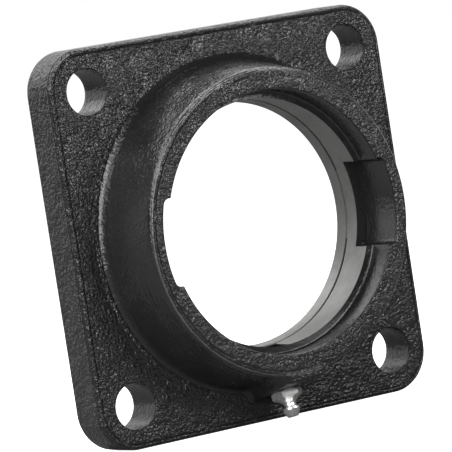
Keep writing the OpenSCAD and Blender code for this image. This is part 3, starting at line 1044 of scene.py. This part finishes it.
def grease_cutters(form, fitting):
    """Solids that are cut out of the housing for the grease: pocket, passage and the shank's hole."""
    boss, seat = form.boss, form.seat
    depth = (form.boss_r - form.seat_r) / math.cos(boss.tilt)
    past = 1 * MM                  # how far a cutter reaches beyond the surface that it opens
    bottom = -fitting.shank_length - past
    mouth_r = fitting.shank / 2 + boss.shank_gap + past * fitting.taper
    inner_r = fitting.shank / 2 + boss.shank_gap - (fitting.shank_length + past) * fitting.taper
    way = lidded(turned([(boss.passage / 2, -depth - past), (boss.passage / 2, bottom), (inner_r, bottom),
                         (mouth_r, past)], PASSAGE_STEPS))
    cutters = [way.mesh("grease passage", fitting_place(form))]
    back = seat.height - seat.groove_back - seat.groove_width / 2
    front = seat.height + boss.passage / 2 + past
    radius = form.seat_r + boss.pocket_depth
    wide = boss.pocket_width / 2
    turn = arc(-math.asin(wide / radius), math.asin(wide / radius), POCKET_STEPS)
    floor = np.column_stack([radius * np.sin(turn), -radius * np.cos(turn)])
    inside_bore = -0.9 * form.seat_r
    outline = np.concatenate([[[-wide, inside_bore]], floor, [[wide, inside_bore]]])
    pocket = lidded([at_height(outline, h) for h in (back, front)])
    cutters.append(pocket.mesh("grease pocket", upright))
    return cutters


def cut(obj, cutters):
    """Takes the cutters' solids out of the object."""
    helpers = []
    for mesh in cutters:
        helper = new_object(mesh.name, mesh)
        helpers.append(helper)
        modifier = obj.modifiers.new("cut", "BOOLEAN")
        modifier.operation = "DIFFERENCE"
        modifier.solver = "MANIFOLD"
        modifier.object = helper
    applied(obj)
    for helper in helpers:
        mesh = helper.data
        bpy.data.objects.remove(helper)
        bpy.data.meshes.remove(mesh)


def random_heights(values, seed):
    """Smooth random heights between 0 and 1 along a line, with one random value at each whole number."""
    table = np.random.default_rng(seed).random(4096)
    low = np.floor(values).astype(int)
    part = values - low
    part = part * part * (3 - 2 * part)
    return table[low % len(table)] * (1 - part) + table[(low + 1) % len(table)] * part


# The ridge of flash along the hub's foot: where it starts and ends, in degrees from 3 o'clock over 12, over
# how many degrees it fades, how far outside the foot its top lies, and half its width
FLASH_START, FLASH_END, FLASH_FADE = 118, 262, 14
FLASH_OUT, FLASH_WIDTH = 0.1 * MM, 0.42 * MM


def mark_casting(form, mesh, finish):
    """Moves the points of the cast skin to make its pits and the thin ridge along the hub's foot."""
    points = coordinates(mesh)
    normals = directions(mesh)
    radius = np.hypot(points[:, 0], points[:, 2])
    height = -points[:, 1]
    for pits, level in ((FLANGE_PITS, form.flange.thickness), (FACE_PITS, form.hub.height)):
        on_face = np.abs(height - level) < 0.01 * MM
        for x, z, size, depth in pits:
            gap = np.hypot(points[:, 0] - x * MM, points[:, 2] - z * MM) / (size * MM)
            bowl = np.clip(1 - gap * gap, 0, 1) ** 1.5
            points[:, 1] += np.where(on_face, bowl * depth * MM, 0)
    turn = np.degrees(np.arctan2(points[:, 2], points[:, 0])) % 360
    along = np.clip((turn - FLASH_START) / FLASH_FADE, 0, 1) * np.clip((FLASH_END - turn) / FLASH_FADE, 0, 1)
    beads = random_heights(turn * 1.6, finish.seed)
    stretches = random_heights(turn * 0.35, finish.seed + 1)
    rough = 0.35 + 0.65 * beads * (0.4 + stretches)
    near = np.exp(-((radius - form.border_r - FLASH_OUT) / FLASH_WIDTH) ** 2)
    near *= np.abs(height - form.flange.thickness) < 0.6 * MM
    points += normals * (finish.flash * along * rough * near)[:, None]
    mesh.vertices.foreach_set("co", points.ravel())


# Share of the cast grain that each zone shows; the flange's face and the hub's face show all of it
GRAIN = {"hub side": 0.22, "flange side": 0.6, "mouth": 0.12, "holes": 0.22, "back": 0.12, "seat": 0}


def mark_zones(form, mesh):
    """Marks each point with its share of cast grain, and each face of the machined seat."""
    points = coordinates(mesh)
    seat = form.seat
    radius = np.hypot(points[:, 0], points[:, 2])
    height = -points[:, 1]
    grain = np.ones(len(points))
    side = (height > form.flange.thickness + 0.3 * MM) & (height < form.hub.height - 0.25 * MM)
    grain[side] = GRAIN["hub side"]
    edge = np.max(np.abs(points[:, [0, 2]]), axis=1) > form.flange.width / 2 - 0.3 * MM
    grain[edge] = GRAIN["flange side"]
    mouth = (radius < seat.slot_span / 2 + 0.3 * MM) & (height > form.recess_h + 0.5 * MM)
    mouth &= height < form.hub.height - 0.3 * MM
    grain[mouth] = GRAIN["mouth"]
    in_holes = np.zeros(len(points), bool)
    for centre in form.bolt_centres():
        gap = np.hypot(points[:, 0] - centre[0], points[:, 2] - centre[1])
        in_holes |= gap < form.flange.bolt_hole / 2 + 0.1 * MM
    grain[in_holes] = GRAIN["holes"]
    grain[height < 0.1 * MM] = GRAIN["back"]
    bore = (radius < form.seat_r + 0.6 * MM) & (height > form.recess_h - 0.05 * MM)
    bore &= height < form.shoulder_h + 0.01 * MM
    grain[bore] = GRAIN["seat"]
    mesh.attributes.new("grain", "FLOAT", "POINT").data.foreach_set("value", grain)
    corners = np.empty(len(mesh.loops), int)
    mesh.loops.foreach_get("vertex_index", corners)
    totals = np.empty(len(mesh.polygons), int)
    mesh.polygons.foreach_get("loop_total", totals)
    owner = np.repeat(np.arange(len(totals)), totals)
    centres = np.stack([np.bincount(owner, points[corners, axis]) / totals for axis in range(3)], -1)
    middle_r = np.hypot(centres[:, 0], centres[:, 2])
    middle_h = -centres[:, 1]
    off_sphere = np.hypot(middle_r, middle_h - seat.height) - form.seat_r
    machined = (np.abs(off_sphere) < 0.6 * MM) & (middle_h < form.shoulder_h - 0.02 * MM)
    machined &= (middle_h > form.recess_h + 0.02 * MM) & (middle_r < form.seat_r + 0.01 * MM)
    mesh.attributes.new("machined", "BOOLEAN", "FACE").data.foreach_set("value", machined)


def cast_skin_tree(name):
    """Geometry Nodes that raise the cast skin unevenly and give each face its finish."""
    tree, graph, value = new_tree(name, {
        "Geometry": "Geometry", "Swell": "Float", "Swell Size": "Float", "Peel": "Float",
        "Peel Size": "Float", "Sink": "Float", "Seed": "Int", "Paint": "Material", "Metal": "Material"})
    where = graph.node("GeometryNodeInputPosition")
    normal = graph.node("GeometryNodeInputNormal")
    grain = graph.node("GeometryNodeInputNamedAttribute", {"data_type": "FLOAT"}, {"Name": "grain"})
    machined = graph.node("GeometryNodeInputNamedAttribute", {"data_type": "BOOLEAN"}, {"Name": "machined"})
    shift = graph.node("ShaderNodeCombineXYZ", None, {"X": value["Seed"]})
    moved = graph.node("ShaderNodeVectorMath", {"operation": "ADD"}, {0: where, 1: shift})
    swell = graph.noise(moved, value["Swell Size"])
    peel = graph.noise(moved, value["Peel Size"], 1.0)
    rise = (swell - 0.5) * value["Swell"] + (peel - 0.5) * value["Peel"]
    rise = rise * grain - value["Sink"] * grain.of("SIGN")
    offset = graph.node("ShaderNodeVectorMath", {"operation": "SCALE"}, {0: normal, "Scale": rise})
    raised = graph.node("GeometryNodeSetPosition", None, {"Geometry": value["Geometry"], "Offset": offset})
    real = graph.node("GeometryNodeRealizeInstances", None, {0: raised})
    painted = graph.node("GeometryNodeSetMaterial", None, {"Geometry": real, "Material": value["Paint"]})
    finished = graph.node("GeometryNodeSetMaterial", None, {
        "Geometry": painted, "Selection": machined, "Material": value["Metal"]})
    graph.node("NodeGroupOutput", None, {0: finished})
    return tree


def give_tree(obj, tree, values):
    """Adds the tree to the object as a modifier and sets its named inputs."""
    modifier = obj.modifiers.new(tree.name, "NODES")
    modifier.node_group = tree
    for item in tree.interface.items_tree:
        if item.item_type == "SOCKET" and item.in_out == "INPUT" and item.name in values:
            modifier[item.identifier] = values[item.name]


class HOUSING_OT_casting(bpy.types.Operator):
    """Make the cast housing with its machined seat"""
    bl_idname = "flange_housing.casting"
    bl_label = "Casting"

    def execute(self, context):
        settings = context.scene.flange_housing
        form = HousingForm(settings)
        casting = new_object("flange_housing", housing_shell(form).mesh("flange housing", upright))
        cut(casting, grease_cutters(form, settings.fitting))
        cast = settings.cast
        mark_casting(form, casting.data, cast)
        mark_zones(form, casting.data)
        give_tree(casting, cast_skin_tree("cast skin"), {
            "Swell": cast.swell, "Swell Size": cast.swell_size, "Peel": cast.peel,
            "Peel Size": cast.peel_size, "Sink": cast.sink, "Seed": cast.seed,
            "Paint": painted_iron_material(), "Metal": machined_iron_material()})
        smooth(applied(casting))
        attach(casting, "root")
        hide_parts("housing")
        return {"FINISHED"}


FITTING_STATIONS = 144             # points round the fitting
THREAD_STEPS = 10                  # rings to one turn of the thread
RUNOUT = 1.4                       # turns over which the thread fades out at the hexagon
SHANK_CHAMFER = 0.4 * MM
THREAD_FLAT, THREAD_SLOPE = 1.25, 3.2    # shape of the groove across one turn
UNDER_HEAD = 0.8                   # slope of the head's underside
# Radii in millimetres at the fitting's corners, from the shoulder to the inlet
CORNER_RADII = (0.15, 0.3, 0.2, 0.1, 0.1, 0.12, 0.1)


def hexagon_radius(fitting, turn):
    """Distance from the axis to the hexagon's side at an angle."""
    flat = math.pi / 3
    off = (turn - fitting.hexagon_turn) % flat - flat / 2
    return fitting.across_flats / 2 / np.cos(off)


def fitting_rings(fitting):
    """Rings of the fitting's whole surface, up the outside and back down the bore."""
    turn = fitting.hexagon_turn + arc(0, 2 * math.pi, FITTING_STATIONS)[:-1]
    rings = []

    def ring(radius, out):
        rings.append(circle(radius, turn, out))

    end = -fitting.shank_length
    ring(fitting.stake_hole / 2, end)
    ring(fitting.shank / 2 + end * fitting.taper - SHANK_CHAMFER, end)
    steps = int(fitting.shank_length / fitting.pitch * THREAD_STEPS)
    for out in arc(end + SHANK_CHAMFER / 4, -0.02 * MM, steps):
        crest = fitting.shank / 2 + out * fitting.taper
        phase = (out / fitting.pitch - turn / (2 * math.pi)) % 1
        groove = np.clip(THREAD_FLAT - np.abs(phase - 0.5) * THREAD_SLOPE, 0, 1)
        fade = np.clip(-out / (RUNOUT * fitting.pitch), 0, 1)
        radius = crest - fitting.thread * groove * fade
        ring(np.minimum(radius, crest - np.maximum(0, end + SHANK_CHAMFER - out)), out)
    ring(fitting.shank / 2, 0)
    hexagon = hexagon_radius(fitting, turn)
    flat = fitting.across_flats / 2
    corner = fitting.across_flats / math.sqrt(3)
    low = fitting.chamfer * (hexagon - flat) / (corner - flat)
    high = fitting.hexagon - (hexagon - fitting.shoulder) * math.tan(fitting.cone)
    ring(flat, 0)
    for part in arc(0, 1, 4):
        ring(hexagon, low + (high - fitting.edge - low) * part)
    ring(hexagon - 0.3 * fitting.edge, high - 0.1 * fitting.edge)
    for part in arc(0, 1, 8)[1:-1]:
        inward = fitting.edge + (hexagon - fitting.edge - fitting.shoulder) * part
        ring(hexagon - inward, high + inward * math.tan(fitting.cone))
    neck = fitting.hexagon + fitting.neck_rise
    tip = fitting.hexagon + fitting.head_rise
    under = neck + fitting.neck_length / 2
    low = under + (fitting.head - fitting.neck) / 2 * UNDER_HEAD
    outline = [(fitting.shoulder, fitting.hexagon), (fitting.neck / 2, neck - fitting.neck_length / 2),
               (fitting.neck / 2, under), (fitting.head / 2, low),
               (fitting.head / 2, low + fitting.head_side), (fitting.tip / 2, tip),
               (fitting.inlet / 2, tip)]
    for radius, out in softened(outline, CORNER_RADII):
        ring(radius, out)
    inlet_end = tip - fitting.inlet_length
    seat_end = inlet_end - (fitting.bore - fitting.inlet) / 2
    ring(fitting.inlet / 2, inlet_end)
    for out in arc(seat_end, end + fitting.stake, 6):
        ring(fitting.bore / 2, out)
    ring(fitting.stake_hole / 2, end + fitting.stake)
    return rings


def softened(points, radii):
    """A line of (radius, height) points whose corners are rounded by radii given in millimetres."""
    points = [np.array(point) for point in points]
    line = [points[0]]
    for before, corner, after, radius in zip(points, points[1:], points[2:], radii[1:]):
        first = (before - corner) / np.linalg.norm(before - corner)
        second = (after - corner) / np.linalg.norm(after - corner)
        half = math.acos(np.clip(first @ second, -1, 1)) / 2
        reach = min(radius * MM / math.tan(half), 0.45 * np.linalg.norm(before - corner),
                    0.45 * np.linalg.norm(after - corner))
        for part in arc(0, 1, 5):
            line.append((1 - part) ** 2 * (corner + first * reach) + 2 * part * (1 - part) * corner
                        + part ** 2 * (corner + second * reach))
    line.append(points[-1])
    return line


class HOUSING_OT_grease_fitting(bpy.types.Operator):
    """Make the plated grease fitting"""
    bl_idname = "flange_housing.grease_fitting"
    bl_label = "Grease Fitting"

    def execute(self, context):
        settings = context.scene.flange_housing
        form = HousingForm(settings)
        shell = Shell()
        shell.bands(fitting_rings(settings.fitting), closed=True)
        fitting = new_object("grease_fitting", shell.mesh("grease fitting", fitting_place(form)))
        metal = settings.metal
        fitting.data.materials.append(plated_material("bright zinc plate", metal.zinc, metal.zinc_roughness,
                                                      3 * MM, 0.4 * MM, 0.004 * MM))
        smooth(fitting.data)
        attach(fitting, "root")
        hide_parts("grease_fitting_body")
        return {"FINISHED"}


WIRE_SIDES = 12
WIRE_POINTS = 361                  # points along the wire, 40 to a turn


def spring_tree(name):
    """Geometry Nodes that wind a wire into a spring with one closed turn at each end."""
    tree, graph, value = new_tree(name, {
        "Start": "Float", "Length": "Float", "Coil Radius": "Float", "Wire Radius": "Float",
        "Closed Pitch": "Float", "Turns": "Float", "Points": "Int", "Wire": "Material"})
    line = graph.node("GeometryNodeCurvePrimitiveLine")
    points = graph.node("GeometryNodeResampleCurve", None, {"Curve": line, "Count": value["Points"]})
    turn = graph.node("GeometryNodeSplineParameter") * (value["Turns"] + 2)
    first = turn.least(1)
    last = (turn - value["Turns"] - 1).most(0)
    working = (turn - 1).most(0).least(value["Turns"])
    open_pitch = (value["Length"] - 2 * value["Closed Pitch"]) / value["Turns"]
    rise = value["Start"] + (first + last) * value["Closed Pitch"] + working * open_pitch
    around = turn * (2 * math.pi)
    place = graph.node("ShaderNodeCombineXYZ", None, {
        "X": value["Coil Radius"] * around.of("COSINE"), "Y": value["Coil Radius"] * around.of("SINE"),
        "Z": rise})
    wound = graph.node("GeometryNodeSetPosition", None, {"Geometry": points, "Position": place})
    wire = graph.node("GeometryNodeCurvePrimitiveCircle", None, {
        "Resolution": WIRE_SIDES, "Radius": value["Wire Radius"]})
    tube = graph.node("GeometryNodeCurveToMesh", None, {
        "Curve": wound, "Profile Curve": wire, "Fill Caps": True})
    real = graph.node("GeometryNodeRealizeInstances", None, {0: tube})
    finished = graph.node("GeometryNodeSetMaterial", None, {"Geometry": real, "Material": value["Wire"]})
    graph.node("NodeGroupOutput", None, {0: finished})
    return tree


class HOUSING_OT_check_spring(bpy.types.Operator):
    """Wind the check spring behind the ball"""
    bl_idname = "flange_housing.check_spring"
    bl_label = "Check Spring"

    def execute(self, context):
        settings = context.scene.flange_housing
        fitting, sizes = settings.fitting, settings.spring
        form = HousingForm(settings)
        wire = sizes.wire / 2
        coil = sizes.diameter / 2 - wire
        ball = sizes.ball / 2
        tip = fitting.hexagon + fitting.head_rise
        ball_out = (tip - fitting.inlet_length + fitting.inlet / 2
                    - (ball + sizes.ball_gap) * math.sqrt(2))
        low = fitting.stake - fitting.shank_length + sizes.ball_gap + wire
        high = ball_out - math.sqrt((ball + wire + sizes.ball_gap) ** 2 - coil ** 2)
        spring = new_object("check_spring_coil", bpy.data.meshes.new("check spring"))
        give_tree(spring, spring_tree("wound spring"), {
            "Start": low, "Length": high - low, "Coil Radius": coil, "Wire Radius": wire,
            "Closed Pitch": sizes.wire + sizes.closed_gap, "Turns": float(sizes.turns),
            "Points": WIRE_POINTS, "Wire": plated_material(
                "spring wire", settings.metal.wire, 0.30, 1 * MM, 0.08 * MM, 0.003 * MM)})
        mesh = applied(spring)
        mesh.vertices.foreach_set("co", fitting_place(form)(coordinates(mesh)).ravel())
        smooth(mesh)
        anchor = fitting_place(form)([[0, 0, low - wire]])[0]
        slide = next(joint for joint in frame["joints"] if joint["name"] == "check_ball_slide")
        travel = max(slide["range_m"])
        full = high - low + 2 * wire
        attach(spring, "root")
        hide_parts("check_spring")
        (full - travel) / full
        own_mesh(spring)
        return {"FINISHED"}


class HOUSING_OT_check_ball(bpy.types.Operator):
    """Finish the check ball in polished steel"""
    bl_idname = "flange_housing.check_ball"
    bl_label = "Check Ball"

    def execute(self, context):
        ball = frame["nodes"]["check_ball"]
        steel = plated_material("polished ball steel", context.scene.flange_housing.metal.steel, 0.10,
                                1.5 * MM, 0.2 * MM, 0.002 * MM)
        if not ball.material_slots:
            ball.data.materials.append(None)
        for slot in ball.material_slots:
            slot.material = steel
        return {"FINISHED"}


# Studio

FLOOR_REACH = 4.0                  # metres from the middle to the floor's edges
FLOOR_GLOW = 0.9                   # what the camera sees on the floor besides the light that falls on it
BACKDROP_TOP = 0.34, 0.60          # height at which the backdrop ends in the room, on a sphere of radius 1
BACKDROP_SIDE = 0.35, 0.80         # how far back it begins


def area_lamp(name, place, width, height, brightness):
    """A soft rectangular lamp that faces the housing and shines with a given brightness."""
    data = bpy.data.lights.new(name, "AREA")
    data.shape = "RECTANGLE"
    data.size = width
    data.size_y = height
    data.energy = brightness * math.pi * width * height
    lamp = new_object(name, data)
    lamp.location = place
    lamp.rotation_euler = (-place).to_track_quat("-Z", "Y").to_euler()


# Soft boxes and cards: degrees round from the front towards the right, degrees up, distance, width, height
# and brightness
LAMPS = {
    "left soft box": (288, 40, 0.75, 0.62, 0.36, 5.2),
    "front left card": (309, 15, 0.75, 0.42, 0.46, 8.5),
    "back left soft box": (236, 54, 0.75, 0.40, 0.26, 5.0),
    "front card": (21, 17, 0.36, 0.15, 0.12, 12.5),
    "right card": (80, 20, 0.75, 0.26, 0.24, 2.5),
    "top soft box": (180, 74, 0.75, 0.36, 0.30, 8.5),
    "back right soft box": (128, 44, 0.75, 0.40, 0.26, 3.2),
    "back soft box": (190, 36, 0.75, 0.50, 0.26, 1.8),
}


def light_direction(around, up):
    """The way to a lamp from the housing's middle."""
    around, up = math.radians(around), math.radians(up)
    return Vector((math.cos(up) * math.sin(around), -math.cos(up) * math.cos(around), math.sin(up)))


def set_camera(studio):
    """A long lens at the photograph's angle, moved in its own view to frame the housing as there."""
    forward = Vector((math.sin(studio.yaw) * math.cos(studio.pitch),
                      math.cos(studio.yaw) * math.cos(studio.pitch), -math.sin(studio.pitch)))
    level = Vector((math.cos(studio.yaw), -math.sin(studio.yaw), 0))
    over = level.cross(forward)
    right = math.cos(studio.roll) * level + math.sin(studio.roll) * over
    up = -math.sin(studio.roll) * level + math.cos(studio.roll) * over
    place = studio.shift_right * right + studio.shift_up * up - studio.distance * forward
    data = bpy.data.cameras.new("camera")
    data.lens = studio.lens
    data.sensor_width = 36
    camera = new_object("camera", data)
    camera.matrix_world = Matrix.LocRotScale(place, Matrix((right, up, -forward)).transposed(), None)
    bpy.context.scene.camera = camera


def floor_material(studio):
    """Pale floor that looks white to the camera where no shadow falls on it, and dim in reflections."""
    material, graph = new_material("pale floor")
    path = graph.node("ShaderNodeLightPath", None, None, "Is Camera Ray")
    mirrored = graph.also(path, "Is Glossy Ray")
    colour_here = graph.mixed(mirrored, opaque(studio.floor), opaque(studio.floor, studio.floor_in_gloss))
    matt = graph.node("ShaderNodeBsdfDiffuse", None, {"Color": colour_here})
    glow = graph.node("ShaderNodeEmission", None, {"Color": (1, 1, 1, 1), "Strength": FLOOR_GLOW * path})
    close_surface(graph, graph.node("ShaderNodeAddShader", None, {0: matt, 1: glow}))
    return material


def studio_world(studio):
    """White all round for the camera; for gloss, a bright backdrop behind the housing and a dim room."""
    world = bpy.data.worlds.new("studio")
    world.use_nodes = True
    world.node_tree.nodes.clear()
    graph = Graph(world.node_tree)
    seen = graph.node("ShaderNodeLightPath", None, None, "Is Camera Ray")
    glossy = graph.also(seen, "Is Glossy Ray").most(graph.also(seen, "Is Transmission Ray"))
    where = graph.node("ShaderNodeTexCoord", None, None, "Generated")
    apart = graph.node("ShaderNodeSeparateXYZ", None, {"Vector": where})
    low = 1 - graph.ramp(graph.also(apart, "Z"), *BACKDROP_TOP)
    behind = graph.ramp(graph.also(apart, "Y"), *BACKDROP_SIDE)
    gloss = studio.room + (studio.backdrop - studio.room) * behind * low
    level = studio.sky + (gloss - studio.sky) * glossy
    level = level + (1 - level) * seen
    sky = graph.node("ShaderNodeBackground", None, {"Color": (1, 1, 1, 1), "Strength": level})
    graph.node("ShaderNodeOutputWorld", None, {"Surface": sky})
    bpy.context.scene.world = world


class HOUSING_OT_studio(bpy.types.Operator):
    """Set up the floor, the soft light and the camera"""
    bl_idname = "flange_housing.studio"
    bl_label = "Studio"

    def execute(self, context):
        studio = context.scene.flange_housing.studio
        ground = CAD_BOX[0][2]
        mesh = bpy.data.meshes.new("floor")
        reach = FLOOR_REACH
        mesh.from_pydata([(-reach, -reach, ground), (reach, -reach, ground), (reach, reach, ground),
                          (-reach, reach, ground)], [], [(0, 1, 2, 3)])
        mesh.materials.append(floor_material(studio))
        new_object("floor", mesh)
        for name, (around, up, distance, width, height, brightness) in LAMPS.items():
            area_lamp(name, light_direction(around, up) * distance, width, height, brightness)
        studio_world(studio)
        set_camera(studio)
        context.scene.view_settings.view_transform = "Standard"
        return {"FINISHED"}


class HOUSING_PT_sidebar(bpy.types.Panel):
    """Lists the steps that build the housing"""
    bl_idname = "HOUSING_PT_sidebar"
    bl_label = "Flange Bearing Housing"
    bl_space_type = "VIEW_3D"
    bl_region_type = "UI"
    bl_category = "Housing"

    def draw(self, context):
        for step in STEPS:
            self.layout.operator(step.bl_idname)
        settings = context.scene.flange_housing
        for group in settings.bl_rna.properties:
            if group.type != "POINTER" or group.identifier == "rna_type":
                continue
            box = self.layout.box()
            box.label(text=group.identifier.title())
            sizes = getattr(settings, group.identifier)
            for size in sizes.bl_rna.properties:
                if size.identifier not in ("rna_type", "name"):
                    box.prop(sizes, size.identifier)


GROUPS = (FlangeSizes, HubSizes, SeatSizes, BossSizes, FittingSizes, SpringSizes, CastFinish, MetalFinish,
          StudioSettings, HousingSettings)
STEPS = (HOUSING_OT_casting, HOUSING_OT_grease_fitting, HOUSING_OT_check_spring, HOUSING_OT_check_ball,
         HOUSING_OT_studio)


def register():
    for item in GROUPS + STEPS + (HOUSING_PT_sidebar,):
        bpy.utils.register_class(item)
    bpy.types.Scene.flange_housing = PointerProperty(type=HousingSettings)


def unregister():
    del bpy.types.Scene.flange_housing
    for item in reversed(GROUPS + STEPS + (HOUSING_PT_sidebar,)):
        bpy.utils.unregister_class(item)


def main():
    register()
    bpy.ops.flange_housing.casting()
    bpy.ops.flange_housing.grease_fitting()
    bpy.ops.flange_housing.check_spring()
    bpy.ops.flange_housing.check_ball()
    bpy.ops.flange_housing.studio()


if __name__ == "__main__":
    main()
